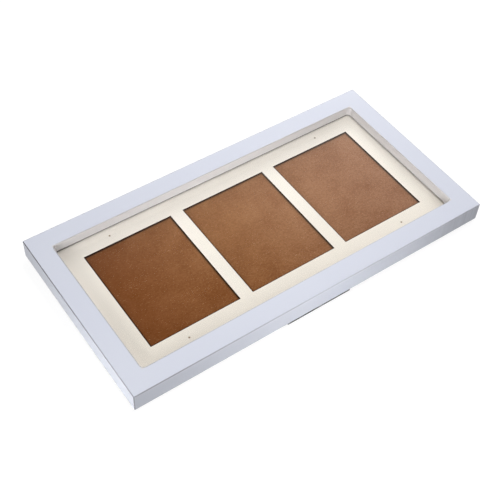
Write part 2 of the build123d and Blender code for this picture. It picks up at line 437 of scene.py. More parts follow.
# Each of these masks rises from 0 at the first place to 1 at the second, along X or Y. Those of
# the opening are distances from the middle.
NEAR_RAIL_Y = (-79 * MM, -81 * MM)
NEAR_SHADED_X = (0, -190 * MM)
LEFT_RAIL_X = (-179 * MM, -181 * MM)
LEFT_RAIL_Y = (102.5 * MM, 101.5 * MM)
LEFT_SHADED_Y = (-90 * MM, 100 * MM)
CORNER_X = (-202 * MM, -202.6 * MM)
CORNER_Y = (-102 * MM, -102.6 * MM)
RIGHT_FOOT_X = (180 * MM, 182 * MM)
OPENING_X = (183 * MM, 182.2 * MM)
OPENING_Y = (83 * MM, 82.2 * MM)
STREAKED_X = (130 * MM, 200 * MM)
STREAKED_Y = (-102 * MM, -102.8 * MM)


def rail_shade(tree, shares, signal, worn_toward):
    """How much painted shade the arrises of a rail carry, growing toward one end."""
    least, more = shares
    return least + more * tree.step(signal, *worn_toward)


def satin_paint(tree):
    place = tree.place()
    across, along, _ = tree.parts(place)
    cloud = tree.grain(place, SPRAY_CLOUD, detail=1.0)
    nib = 1 - tree.step(tree.cells(place, NIB_SPACING), *NIB_EDGE)
    peel = tree.grain(place, PEEL_SIZE, detail=1.0)
    # Painted shade: the arris line is darker on the near and left rails.
    near_rail_shade = tree.step(along, *NEAR_RAIL_Y) * rail_shade(tree, NEAR_RAIL_SHADE, across, NEAR_SHADED_X)
    left_end = tree.step(across, *LEFT_RAIL_X) * tree.step(along, *LEFT_RAIL_Y)
    left_rail_shade = left_end * rail_shade(tree, LEFT_RAIL_SHADE, along, LEFT_SHADED_Y)
    near_left_corner = tree.step(across, *CORNER_X) * tree.step(along, *CORNER_Y)
    thin, bare = [tree.add("ShaderNodeAttribute", {"attribute_name": name}).out("Fac")
                  for name in ("thin", "bare")]
    arris_dark = thin * near_rail_shade.most(left_rail_shade).most(THIN_ELSEWHERE)
    # Painted shade along the foot of the lip, where it meets the glass.
    lip = bare * (1 - RIGHT_FOOT_LIGHTER * tree.step(across, *RIGHT_FOOT_X))
    unpainted_and_shaded = arris_dark.most(lip).most(near_left_corner * CORNER_WEAR)
    # Painted warm light from the mat, on the walls of the opening.
    mat_bounce = tree.step(abs(across), *OPENING_X) * tree.step(abs(along), *OPENING_Y)
    streak = tree.step(tree.strands(place, STREAK_SHAPE, STREAK_SIZE), *STREAK_EDGE)
    right_end = tree.step(across, *STREAKED_X) * tree.step(along, *STREAKED_Y)
    sprayed_and_bounced = tree.blend(mat_bounce, tree.blend(cloud, PAINT_WHITE, PAINT_SHADE), PAINT_MAT_BOUNCE)
    streaked = tree.blend(right_end * streak * STREAK_STRENGTH, sprayed_and_bounced, PAINT_STREAK)
    return tree.principled(
        Base_Color=tree.blend(unpainted_and_shaded, streaked, BARE_BOARD_AND_SHADE),
        Roughness=0.40 + 0.10 * cloud + 0.10 * unpainted_and_shaded,
        Normal=tree.bump(peel * PEEL_HEIGHT + nib, PEEL_DEPTH, strength=0.5),
        Coat_Weight=0.12,
        Coat_Roughness=0.25,
    )


white_paint = new_material("satin white paint", satin_paint)

# %% [markdown]
# ## Finish 2: clear glass
# A pane could be a mix of Transparent and Glossy, but that has no thickness: the mat beneath
# would not shift, and no dark line would show where the frame's wall meets it. So it is
# real refracting glass, with one change. Refracting glass blocks the lamps, because a
# path tracer rarely finds a lamp through it. Rays that only carry light, shadow rays and
# diffuse rays, therefore meet a clear surface in its place.

# %% Clear glass
GLASS_GREEN = (0.985, 0.995, 0.99)
GLASS_INDEX = 1.50
WIPE_SHAPE = (1, 6, 1)
WIPE_SIZE = 60 * MM
WIPE_EDGE = (0.45, 0.70)


def pane_glass(tree):
    wipe = tree.strands(tree.place(), WIPE_SHAPE, WIPE_SIZE, turn=0.5)
    rays = tree.add("ShaderNodeLightPath")
    glass = tree.principled(
        Base_Color=GLASS_GREEN,
        Roughness=0.01 + 0.03 * tree.step(wipe, *WIPE_EDGE),
        IOR=GLASS_INDEX,
        Transmission_Weight=1.0,
    )
    clear = tree.add("ShaderNodeBsdfTransparent")
    lit = tree.either(rays.out("Is Diffuse Ray"), glass, clear)
    return tree.either(rays.out("Is Shadow Ray"), lit, clear)


clear_glass = new_material("clear glass", pane_glass)

# %% [markdown]
# ## Finish 3: cream mat board with near-black cut faces
# Mat board is layers of brown pulp with a sheet of cream paper pasted on the face. A blade that
# cuts a window leaves the cut faces showing, and here they are near black, which draws the dark
# line along the far edges of each window. The faces and the cuts are told apart by the surface
# normal: a cut faces sideways. The paper has fibres, so its noise is stretched in two directions.
# Painted shade makes the paper darker and warmer toward the near side. The pin that
# pricked the board at four points has torn the paper round each hole, which shows a pale brown.
# The holes mirror each other about the middle of the windows, so one distance serves all four.

# %% Cream mat board
MAT_CREAM = (0.955, 0.89, 0.81)
# Painted shade: the paper is darker and warmer toward the near side.
MAT_NEAR_SHADE = (0.875, 0.81, 0.72)
MAT_FLECK = (0.66, 0.55, 0.42)
# Near black on every cut face, which draws the dark line along the far edges of each window.
MAT_CUT_DARK = (0.020, 0.005, 0.001)
MAT_CUT_PALE = (0.040, 0.012, 0.003)
MAT_TORN = (0.46, 0.34, 0.23)
MAT_CLOUD = 45 * MM
MAT_NEAR_Y = (40 * MM, -70 * MM)
FIBRE = (0.25, 1.0, 1.0)
FIBRE_DEPTH = 0.06 * MM
FLECK_PEAKS = (0.74, 0.80)
FLECK_STRENGTH = 0.35
LAYER_SHAPE = (0.02, 0.02, 1.0)
LAYER_SIZE = 0.25 * MM
PAPER_SIDE = (0.45, 0.55)  # how far a surface faces up or down before it counts as paper
WINDOW_COUNT = 3
WINDOW_WIDTH = 98.2 * MM
WINDOW_HEIGHT = 123.0 * MM
WINDOW_PITCH = WINDOW_WIDTH + 14.1 * MM
WINDOW_SHIFT = Vector((1.2, 1.5, 0)) * MM
PRICK_SPAN = Vector((254.0, 143.5, 0)) * MM
TORN_EDGE = (0.6 * MM, 1.4 * MM)


def torn_paper(tree, place):
    """1 on the paper close round each pin prick, and 0 elsewhere."""
    across, along, _ = tree.parts(place)
    beside = abs(across - WINDOW_SHIFT.x) - PRICK_SPAN.x / 2
    beyond = abs(along - WINDOW_SHIFT.y) - PRICK_SPAN.y / 2
    return 1 - tree.step((beside * beside + beyond * beyond).root(), *TORN_EDGE)


def mat_board(tree):
    place = tree.place()
    cloud = tree.grain(place, MAT_CLOUD)
    fibre_one = tree.strands(place, FIBRE, size=0.5 * MM, turn=0.6)
    fibre_two = tree.strands(place, FIBRE, size=0.7 * MM, turn=-0.9)
    fleck = tree.step(tree.strands(place, FIBRE, size=0.9 * MM, turn=1.3), *FLECK_PEAKS)
    # Painted shade toward the near side.
    near_shade = tree.step(tree.parts(place)[1], *MAT_NEAR_Y)
    paper_and_shade = tree.blend(cloud * 0.3 + near_shade * 0.7, MAT_CREAM, MAT_NEAR_SHADE)
    flecked = tree.blend(fleck * FLECK_STRENGTH, paper_and_shade, MAT_FLECK)
    pricked = tree.blend(torn_paper(tree, place), flecked, MAT_TORN)
    layers = tree.strands(place, LAYER_SHAPE, LAYER_SIZE, detail=1.0)
    core = tree.blend(layers, MAT_CUT_DARK, MAT_CUT_PALE)
    paper_side = tree.step(abs(tree.facing()), *PAPER_SIDE)
    return tree.principled(
        Base_Color=tree.blend(paper_side, core, pricked),
        Roughness=0.82 + 0.12 * fibre_one,
        Normal=tree.bump(fibre_one * 0.5 + fibre_two * 0.5, FIBRE_DEPTH, strength=0.6),
        Specular_IOR_Level=0.1,
    )


cream_mat = new_material("cream mat board", mat_board)

# %% [markdown]
# ## Finish 4: brown hardboard
# Hardboard is wood fibre pressed hot and wet against a wire screen. Its face is smooth and hard,
# a mottled red brown with short pale and dark fibres, and its back carries the print
# of the screen. One material can hold both, because the two sides face opposite ways. Flecks
# come from noise that is stretched and then cut off high, so that only its peaks show. Painted
# light makes the board dark toward its left end and pale toward its right, and painted shade
# darkens its near side and the strip round each window, where the mat's edge shades it.
# The windows repeat, so one distance folded by their pitch serves all three.

# %% Brown hardboard
# Painted light: the board's brown goes from shaded and dark at the left end to lit and pale at the right.
BOARD_LEFT_SHADED = (0.19, 0.055, 0.015)
BOARD_MIDDLE = (0.43, 0.205, 0.085)
BOARD_RIGHT_LIT = (0.52, 0.285, 0.17)
BOARD_DARK = (0.16, 0.045, 0.006)
BOARD_PALE = (0.56, 0.33, 0.17)
BOARD_SPECK = (0.045, 0.02, 0.01)
BOARD_SHADED = (0.022, 0.009, 0.004)
BOARD_CLOUD = 26 * MM
BOARD_MOTTLE = 3.2 * MM
BOARD_GRIT = 1.8 * MM
BLOTCHES = 0.34  # how far the mottling reaches between the dark brown and the local one, at the left
BLOTCHES_FADE = 0.15  # how much less far it reaches from the middle on
BLOTCH_EDGE = (0.42, 0.58)
CLOUD_STRENGTH = 2.0  # beside 1 for the blotches
PALE_PEAKS = (0.66, 0.80)
PALE_STRENGTH = 0.55
SPECK_SPACING = 7 * MM
SPECK_EDGE = (0.03, 0.07)
SPECK_STRENGTH = 0.8
LEFT_TO_MIDDLE_X = (-190 * MM, -20 * MM)
MIDDLE_TO_RIGHT_X = (-20 * MM, 150 * MM)
BOARD_NEAR_Y = (10 * MM, -60 * MM)
# Painted shade toward the near side of the board.
NEAR_SIDE_SHADE = 0.16
RIM_NEAR_LEFT = (1.2 * MM, 2.3 * MM)
RIM_FAR_RIGHT = (0.7 * MM, 1.9 * MM)
RIM_SHADE = 0.9
RIM_SHADE_FADE = 0.2
SCREEN_SIDE = (0.5, 0.9)
SCREEN_PITCH = 1.6 * MM
SCREEN_DEPTH = 0.25 * MM
WAVE_SPAN = pi / 10  # the length over which a Wave node of scale 1 repeats


def window_rim(tree, place):
    """1 on the strip of board along the edges of each window, and 0 within."""
    across, along, _ = tree.parts(place)
    folded = ((across - WINDOW_SHIFT.x) / WINDOW_PITCH + 0.5).fraction()
    across = (folded - 0.5) * WINDOW_PITCH
    along = along - WINDOW_SHIFT.y
    near_left = (across + WINDOW_WIDTH / 2).least(along + WINDOW_HEIGHT / 2)
    far_right = (WINDOW_WIDTH / 2 - across).least(WINDOW_HEIGHT / 2 - along)
    return 1 - tree.step(near_left, *RIM_NEAR_LEFT).least(tree.step(far_right, *RIM_FAR_RIGHT))


def hardboard(tree):
    place = tree.place()
    across, along, _ = tree.parts(place)
    cloud = tree.grain(place, BOARD_CLOUD, detail=4.0)
    mottle = tree.grain(place, BOARD_MOTTLE, detail=4.0, distortion=0.6)
    grit = tree.grain(place, BOARD_GRIT, detail=1.0)
    fibre_one = tree.strands(place, FIBRE, size=0.8 * MM, turn=0.4)
    fibre_two = tree.strands(place, FIBRE, size=1.0 * MM, turn=-1.0)
    pale = tree.step(fibre_one.most(fibre_two), *PALE_PEAKS)
    speck = 1 - tree.step(tree.cells(place, SPECK_SPACING), *SPECK_EDGE)
    # Painted light, brighter from the left end toward the right.
    lit_toward_middle = tree.step(across, *LEFT_TO_MIDDLE_X)
    lit_toward_right = tree.step(across, *MIDDLE_TO_RIGHT_X)
    # Painted shade toward the near side.
    shaded_near_side = tree.step(along, *BOARD_NEAR_Y)
    blotch = tree.step(cloud * 0.2 + mottle * 0.3 + grit * 0.5, *BLOTCH_EDGE)
    board_and_light = tree.blend(lit_toward_right, tree.blend(lit_toward_middle, BOARD_LEFT_SHADED, BOARD_MIDDLE), BOARD_RIGHT_LIT)
    uneven = (blotch - 0.5) + (cloud - 0.5) * CLOUD_STRENGTH
    mottled = uneven * (BLOTCHES - BLOTCHES_FADE * lit_toward_middle) + 0.5
    body = tree.blend(mottled - shaded_near_side * NEAR_SIDE_SHADE, BOARD_DARK, board_and_light)
    fibred = tree.blend(pale * PALE_STRENGTH, body, BOARD_PALE)
    specked = tree.blend(speck * SPECK_STRENGTH, fibred, BOARD_SPECK)
    screen_side = tree.step(-1 * tree.facing(), *SCREEN_SIDE)
    rim = window_rim(tree, place) * (1 - screen_side)
    shaded = rim * (RIM_SHADE - RIM_SHADE_FADE * lit_toward_middle)
    turned = tree.stretch(place, (1, 1, 0), turn=radians(45))
    wires = {"Vector": turned, "Scale": WAVE_SPAN / SCREEN_PITCH}
    warp, weft = [tree.add("ShaderNodeTexWave", {"bands_direction": axis}, wires).out("Fac")
                  for axis in "XY"]
    screen = warp * weft * screen_side
    return tree.principled(
        Base_Color=tree.blend(shaded, specked, BOARD_SHADED),
        Roughness=0.42 + 0.16 * mottle + 0.25 * screen_side,
        Normal=tree.bump(screen + fibre_one * 0.12 + mottle * 0.10, SCREEN_DEPTH, strength=0.6),
        Specular_IOR_Level=0.2,
    )


brown_board = new_material("brown hardboard", hardboard)

# %% [markdown]
# ## Finish 5: black fibreboard
# The strut is thin fibreboard faced with black paper. Only its foot shows in the photograph, as a
# dark line under the near edge. Black paper is a dark grey that scatters light, with a
# grain like leather pressed into it.

# %% Black fibreboard
PAPER_BLACK = (0.022, 0.022, 0.024)
PAPER_GREY = (0.040, 0.040, 0.043)
PAPER_CLOUD = 12 * MM
LEATHER_GRAIN = 1.4 * MM
LEATHER_DEPTH = 0.12 * MM


def black_paper(tree):
    place = tree.place()
    pebbles = tree.cells(place, LEATHER_GRAIN)
    cloud = tree.grain(place, PAPER_CLOUD, detail=4.0)
    fibre = tree.strands(place, FIBRE, size=0.5 * MM, turn=0.8)
    return tree.principled(
        Base_Color=tree.blend(cloud * 0.6 + fibre * 0.4, PAPER_BLACK, PAPER_GREY),
        Roughness=0.55 + 0.2 * pebbles,
        Normal=tree.bump(pebbles * 0.8 + fibre * 0.2, LEATHER_DEPTH, strength=0.6),
    )


black_board = new_material("black paper fibreboard", black_paper)

# %% [markdown]
# ## Finish 6: plated steel
# The hinge, the screws and the turn buttons are pressed from sheet steel and plated with zinc; the
# wall hangers are plated yellow. Plated parts are tumbled in a drum, so they carry short
# scratches in every direction and a cloudy sheen. One function makes both platings, since
# only their colours differ: it takes the two colours and gives back the function that builds the tree.

# %% Plated steel
ZINC = ((0.60, 0.62, 0.64), (0.46, 0.47, 0.49))
BRASSED = ((0.74, 0.56, 0.27), (0.58, 0.41, 0.17))
PLATING_CLOUD = 4 * MM
PLATING_DEPTH = 0.05 * MM
SCRATCH = (0.04, 1.0, 1.0)
SCRATCH_SIZE = 0.25 * MM
SCRATCH_PEAKS = (0.60, 0.72)


def plating(bright, dull):
    def plated_steel(tree):
        place = tree.place()
        cloud = tree.grain(place, PLATING_CLOUD, detail=3.0)
        scratch_one, scratch_two = [tree.strands(place, SCRATCH, SCRATCH_SIZE, turn)
                                    for turn in (0.5, -0.7)]
        scratched = tree.step(scratch_one.most(scratch_two), *SCRATCH_PEAKS)
        return tree.principled(
            Base_Color=tree.blend(cloud * 0.7 + scratched * 0.3, bright, dull),
            Metallic=1.0,
            Roughness=0.24 + 0.22 * cloud + 0.10 * scratched,
            Normal=tree.bump(cloud * 0.4 - scratched * 0.2, PLATING_DEPTH, strength=0.4),
        )
    return plated_steel


zinc_steel = new_material("zinc plated steel", plating(*ZINC))
brassed_steel = new_material("yellow plated steel", plating(*BRASSED))

# %% [markdown]
# ## Shapes made of rings
# The frame and the pane are both a rounded rectangle that changes size as it rises. A box with
# a Boolean cut would do, but leaves long thin triangles round its corners. Instead a list of
# rings is written down, each with its size, its level and its corner radius, and neighbours are
# joined with quads. The edges come out as true arcs, and the mesh stays clean.

# %% Rings and skins
CORNER_STEPS = 8
ARRIS_STEPS = 5


def rounded_rectangle(half_length, half_height, radius):
    """Points anticlockwise round a rectangle, with an arc at each corner."""
    points = []
    for quarter, (side_x, side_y) in enumerate(((1, 1), (-1, 1), (-1, -1), (1, -1))):
        for step in range(CORNER_STEPS + 1):
            angle = (quarter + step / CORNER_STEPS) * pi / 2
            points.append((side_x * (half_length - radius) + radius * cos(angle),
                           side_y * (half_height - radius) + radius * sin(angle)))
    return points


def skin(name, rings, capped):
    """Joins rings of (half length, half height, corner radius, level, paint) with quads.

    The paint is a pair: how thin it is, and how much painted shade it carries at the foot of the lip. Each
    is kept in an attribute.
    A capped skin is closed by its first and last ring. Otherwise the last ring joins the first.
    """
    shape = bmesh.new()
    thin_layer = shape.verts.layers.float.new("thin")
    lip_shade_layer = shape.verts.layers.float.new("bare")
    loops = []
    for half_length, half_height, radius, level, (thin, bare) in rings:
        corners = rounded_rectangle(half_length, half_height, radius)
        loop = [shape.verts.new((x, y, level)) for x, y in corners]
        for vertex in loop:
            vertex[thin_layer] = thin
            vertex[lip_shade_layer] = bare
        loops.append(loop)
    following_loops = loops[1:] if capped else loops[1:] + loops[:1]
    for low, high in zip(loops, following_loops):
        for index in range(len(low)):
            following = (index + 1) % len(low)
            shape.faces.new((low[index], low[following], high[following], high[index]))
    if capped:
        shape.faces.new(list(reversed(loops[0])))
        shape.faces.new(loops[-1])
    mesh = bpy.data.meshes.new(name)
    shape.to_mesh(mesh)
    shape.free()
    return mesh


# %% [markdown]
# ## Smooth arcs beside flat faces
# Smooth shading averages the normals at each corner, so a small arc beside a large flat face bends the
# light all over the flat. A Weighted Normal modifier counts each face by its area instead, and
# the arc alone turns. Edges above a limit stay sharp. Every piece goes through this, and comes out
# as a plain mesh with no modifiers left on it.

# %% Plain smooth pieces
FLAT_ANGLE = radians(30)


def worked_out(source):
    """The mesh of an object with all its modifiers applied. The object itself is removed."""
    graph = bpy.context.evaluated_depsgraph_get()
    mesh = bpy.data.meshes.new_from_object(source.evaluated_get(graph), depsgraph=graph)
    bpy.data.objects.remove(source)
    return mesh


def smooth_piece(name, mesh, material=None):
    """A piece at the origin whose arcs are shaded smooth while its flats stay flat."""
    mesh.shade_smooth()
    mesh.set_sharp_from_angle(angle=FLAT_ANGLE)
    source = put(name, mesh)
    source.modifiers.new("flats stay flat", "WEIGHTED_NORMAL").keep_sharp = True
    smooth = worked_out(source)
    smooth.name = name
    if material is not None:
        smooth.materials.clear()
        smooth.materials.append(material)
    print("piece", name, "with", len(smooth.polygons), "faces")
    return put(name, smooth)


# %% [markdown]
# ## The white frame
# One board, cut square outside, with a sight opening from the front and a wider rebate from the
# back that leaves a lip to hold the glass. Walking round the section of a rail, up the outside,
# across the face, down the opening, under the lip, down the rebate and back underneath, gives
# the rings in order. A quarter arc stands at each arris that a hand or a lamp can find. Under
# the lip, and for less than a millimetre above it, the rings carry painted shade, a near black
# that draws the thin dark line where the lip meets the glass.

# %% Frame from rings
RAIL_WIDTH = 21.0 * MM
REBATE_WALL = 14.0 * MM
SIGHT_CORNER = 4.5 * MM
REBATE_CORNER = 3.0 * MM
OUTER_CORNER = 0.8 * MM
TIGHTEST_CORNER = OUTER_CORNER / 8
OUTER_ARRIS = 0.6 * MM
SIGHT_ARRIS = 0.5 * MM
BACK_ARRIS = 0.3 * MM
PAINT_FADE = 0.3 * MM
SIGHT_FADE = 0.9 * MM
SIGHT_WORN = 0.6  # how thin the paint is on the sight arris, beside 1 on the outer one
# How far above the lip the painted shade of its foot reaches.
SHADE_ABOVE_LIP = 0.7 * MM
PAINT_STARTS = SHADE_ABOVE_LIP * 1.2
PAINTED = (0, 0)
LIP_SHADED = (0, 1)

board_low, board_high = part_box("frame_body")
glass_low, glass_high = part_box("glass_pane")


def rail_ring(inset, level, corner, paint=PAINTED):
    """A ring at a distance in from the frame's outer face."""
    return (board_high.x - inset, board_high.y - inset, corner, level, paint)


def arris_rings(inset, level, radius, start, corner_at, before=PAINT_FADE, after=PAINT_FADE, arris_dark=1):
    """A quarter arc of the rail's section round a centre, turning clockwise from the start angle.

    The thin paint fades out on the flats before and after the arc, over the given lengths.
    """
    end = start - pi / 2
    section = [(radius * cos(start) - before * sin(start), radius * sin(start) + before * cos(start), 0)]
    for step in range(ARRIS_STEPS + 1):
        angle = start - step / ARRIS_STEPS * pi / 2
        section.append((radius * cos(angle), radius * sin(angle), arris_dark))
    section.append((radius * cos(end) + after * sin(end), radius * sin(end) - after * cos(end), 0))
    return [rail_ring(inset + across, level + up, corner_at(inset + across), (thin, 0))
            for across, up, thin in section]


def outer_corner(inset):
    return max(OUTER_CORNER - inset, TIGHTEST_CORNER)


def sight_corner(inset):
    return SIGHT_CORNER + RAIL_WIDTH - inset


def rebate_corner(inset):
    return REBATE_CORNER + REBATE_WALL - inset


def frame_rings():
    """Up the outside, across the face, down the opening, under the lip, down the rebate."""
    back, lip, face = board_low.z, glass_high.z, board_high.z
    rings = arris_rings(BACK_ARRIS, back + BACK_ARRIS, BACK_ARRIS, radians(270), outer_corner)
    rings += arris_rings(OUTER_ARRIS, face - OUTER_ARRIS, OUTER_ARRIS, radians(180), outer_corner)
    rings += arris_rings(RAIL_WIDTH - SIGHT_ARRIS, face - SIGHT_ARRIS, SIGHT_ARRIS, radians(90),
                         sight_corner, before=SIGHT_FADE, arris_dark=SIGHT_WORN)
    rings += [
        rail_ring(RAIL_WIDTH, lip + PAINT_STARTS, SIGHT_CORNER),
        rail_ring(RAIL_WIDTH, lip + SHADE_ABOVE_LIP, SIGHT_CORNER, LIP_SHADED),
        rail_ring(RAIL_WIDTH, lip, SIGHT_CORNER, LIP_SHADED),
        rail_ring(REBATE_WALL, lip, REBATE_CORNER, LIP_SHADED),
    ]
    rings += arris_rings(REBATE_WALL - BACK_ARRIS, back + BACK_ARRIS, BACK_ARRIS, 0, rebate_corner)
    return rings


# %% Build the frame
routed_frame = smooth_piece("routed_frame", skin("routed_frame", frame_rings(), capped=False), white_paint)
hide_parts("frame_body")
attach(routed_frame, "frame")

# %% [markdown]
# ## The glass pane
# The pane is a plate of the same rings. Its edges are seamed, which is the glazier's word for
# a small bevel that takes the sharpness off cut glass. It stands a twentieth of a millimetre clear
# of the mat and of the lip, so that no two surfaces share a plane.

# %% Pane
SEAM = 0.3 * MM
PANE_CLEARANCE = 0.05 * MM


def pane_rings():
    low, high = glass_low.z + PANE_CLEARANCE, glass_high.z - PANE_CLEARANCE
    section = [(SEAM, low), (0, low + SEAM), (0, high - SEAM), (SEAM, high)]
    return [(glass_high.x - inset, glass_high.y - inset, REBATE_CORNER - inset, level, PAINTED)
            for inset, level in section]


cut_pane = smooth_piece("cut_pane", skin("cut_pane", pane_rings(), capped=True), clear_glass)
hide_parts("glass_pane")
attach(cut_pane, "frame")

# %% [markdown]
# ## Geometry Nodes from Python
# What follows a rule, or repeats, is made by Geometry Nodes. A tree is written with the same `add`
# as a material. Its sizes are named inputs, so the same tree cuts another mat from other numbers.
# A modifier's inputs are set by the identifier of the socket, because two sockets may share a
# name. The result is then copied out as one plain mesh.

# %% A tree with named inputs
WELD = 0.001 * MM
INPUT_KINDS = {float: "NodeSocketFloat", int: "NodeSocketInt", bpy.types.Material: "NodeSocketMaterial"}


class Recipe:
    """A Geometry Nodes tree with a named input for each size."""

    def __init__(self, name, sizes):
        self.group = bpy.data.node_groups.new(name, "GeometryNodeTree")
        self.group.is_modifier = True
        self.sizes = sizes
        faces = self.group.interface
        faces.new_socket("Geometry", in_out="OUTPUT", socket_type="NodeSocketGeometry")
        faces.new_socket("Geometry", in_out="INPUT", socket_type="NodeSocketGeometry")
        for label, value in sizes.items():
            faces.new_socket(label, in_out="INPUT", socket_type=INPUT_KINDS[type(value)])
        self.tree = Tree(self.group)
        self.start = self.tree.add("NodeGroupInput")

    def size(self, label):
        return self.start.out(label)

    def finish(self, geometry):
        """Ends the tree: real geometry instead of instances, with its material."""
        real = self.tree.add("GeometryNodeRealizeInstances", {}, {"Geometry": geometry})
        painted = {"Geometry": real, "Material": self.size("Finish")}
        self.tree.add("NodeGroupOutput", {}, {0: self.tree.add("GeometryNodeSetMaterial", {}, painted)})

    def build(self, name, base):
        """Runs the tree on a mesh and gives the result as a plain piece."""
        source = put(name, base)
        modifier = source.modifiers.new(self.group.name, "NODES")
        modifier.node_group = self.group
        for item in self.group.interface.items_tree:
            if item.in_out == "INPUT" and item.name in self.sizes:
                modifier[item.identifier] = self.sizes[item.name]
        return smooth_piece(name, worked_out(source))


def moved(tree, geometry, turn=(0, 0, 0), **shift):
    """The same geometry, turned, and then moved by any of X, Y and Z."""
    sockets = {"Geometry": geometry, "Rotation": turn, "Translation": tree.vector(**shift)}
    return tree.add("GeometryNodeTransform", {}, sockets)


def joined(tree, *pieces):
    """Several pieces of geometry as one."""
    return tree.add("GeometryNodeJoinGeometry", {}, {"Geometry": list(pieces)})


def welded(tree, geometry):
    """The same geometry, with the points merged that lie in one place."""
    return tree.add("GeometryNodeMergeByDistance", {}, {"Geometry": geometry, "Distance": WELD})


def repeated(tree, points, piece, **turn):
    """A copy of a piece on each point."""
    sockets = {"Points": points, "Instance": piece, **turn}
    return tree.add("GeometryNodeInstanceOnPoints", {}, sockets)


# %% [markdown]
# ## The window mat
# A framer cuts a mat from one sheet: an outline, then windows at an even pitch. The tree does the
# same with curves. The outline and the windows are rectangles, the four pin pricks are circles,
# and Fill Curve turns closed curves that lie inside each other into a sheet with holes. The sheet
# is then given its thickness, and a flipped copy of it closes the underside.

# %% Mat recipe
PRICK_RADIUS = 0.45 * MM
PRICK_SIDES = 10

mat_low, mat_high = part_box("window_mat")


def rectangle(tree, width, height):
    sockets = {"Width": width, "Height": height}
    return tree.add("GeometryNodeCurvePrimitiveQuadrilateral", {}, sockets)


def circle(tree, sides, radius):
    sockets = {"Resolution": sides, "Radius": radius}
    return tree.add("GeometryNodeCurvePrimitiveCircle", {}, sockets)


def mat_recipe():
    recipe = Recipe("Cut mat", {
        "Length": 2 * mat_high.x, "Height": 2 * mat_high.y, "Thickness": mat_high.z - mat_low.z,
        "Corner radius": REBATE_CORNER, "Windows": WINDOW_COUNT, "Window width": WINDOW_WIDTH,
        "Window height": WINDOW_HEIGHT, "Window pitch": WINDOW_PITCH, "Shift X": WINDOW_SHIFT.x,
        "Shift Y": WINDOW_SHIFT.y, "Prick span X": PRICK_SPAN.x, "Prick span Y": PRICK_SPAN.y,
        "Prick radius": PRICK_RADIUS, "Level": mat_low.z, "Finish": cream_mat,
    })
    tree, size = recipe.tree, recipe.size
    outline = tree.add("GeometryNodeFilletCurve", {"mode": "POLY"}, {
        "Curve": rectangle(tree, size("Length"), size("Height")),
        "Radius": size("Corner radius"), "Count": CORNER_STEPS})
    first_x = size("Shift X") - (size("Windows") - 1) * size("Window pitch") / 2
    middles = tree.add("GeometryNodeMeshLine", {"mode": "OFFSET"}, {
        "Count": size("Windows"), "Start Location": tree.vector(X=first_x, Y=size("Shift Y")),
        "Offset": tree.vector(X=size("Window pitch"))})
    window = rectangle(tree, size("Window width"), size("Window height"))
    windows = repeated(tree, middles, window)
    corners = tree.add("GeometryNodeMeshGrid", {}, {
        "Size X": size("Prick span X"), "Size Y": size("Prick span Y"), "Vertices X": 2, "Vertices Y": 2})
    shifted = moved(tree, corners, X=size("Shift X"), Y=size("Shift Y"))
    pricks = repeated(tree, shifted, circle(tree, PRICK_SIDES, size("Prick radius")))
    cuts = joined(tree, outline, windows, pricks)
    curves = tree.add("GeometryNodeRealizeInstances", {}, {"Geometry": cuts})
    face = tree.add("GeometryNodeFillCurve", {"mode": "TRIANGLES"}, {"Curve": curves})
    raised = tree.add("GeometryNodeExtrudeMesh", {"mode": "FACES"}, {
        "Mesh": face, "Offset": (0, 0, 1), "Offset Scale": size("Thickness"), "Individual": False})
    underside = tree.add("GeometryNodeFlipFaces", {}, {"Mesh": face})
    closed = welded(tree, joined(tree, raised, underside))
    recipe.finish(moved(tree, closed, Z=size("Level")))
    return recipe


# %% Cut the mat
def empty_mesh(points=()):
    """A mesh of loose points, one for each thing that a recipe sets out."""
    mesh = bpy.data.meshes.new("points")
    mesh.from_pydata([tuple(point) for point in points], [], [])
    return mesh


cut_mat = mat_recipe().build("cut_mat", empty_mesh())
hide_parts("window_mat")
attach(cut_mat, "frame")

# %% [markdown]
# ## Where the fasteners sit
# The CAD model holds each kind of fastener as one node of separate solids. Their places are read
# from it, not typed again: the solids are told apart by walking from point to linked point, and
# the middle of each one's box is where a fastener stands.

# %% Find the solids of a node
SORTED_DIGITS = 4  # solids are sorted by places in metres, rounded to a tenth of a millimetre


def solid_boxes(node):
    """The (lowest, highest) corners of each separate solid of a CAD node."""
    shape = bmesh.new()
    shape.from_mesh(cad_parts[node].data)
    bmesh.ops.remove_doubles(shape, verts=shape.verts, dist=WELD)
    waiting, boxes = set(shape.verts), []
    while waiting:
        found, reached = set(), [waiting.pop()]
        while reached:
            vertex = reached.pop()
            found.add(vertex)
            beside = {edge.other_vert(vertex) for edge in vertex.link_edges} & waiting
            waiting -= beside
            reached += beside
        sides = list(zip(*(vertex.co for vertex in found)))
        boxes.append([Vector([pick(side) for side in sides]) for pick in (min, max)])
    shape.free()
    return sorted(boxes, key=lambda box: [round(box[0][axis], SORTED_DIGITS) for axis in (1, 0)])


def seats(node, level):
    """Points at the middle of each solid of a node, at one level."""
    middles = [(low + high) / 2 for low, high in solid_boxes(node)]
    print(node, "has", len(middles), "solids")
    return [(middle.x, middle.y, level) for middle in middles]


# %% [markdown]
# ## Screws, nails and rivets
# All of them are driven upwards into the back, so each is drawn standing on its head: the head
# hangs below the seat and the shank rises above it. A pan head is a ball squashed flat on its
# upper side. A cross recess is cut by two bars and a cone. The thread is a spiral with a
# three-sided section round a tapered core. No two screws in a real frame end with their slots in
# line, so each is turned by a random angle from a fixed seed.

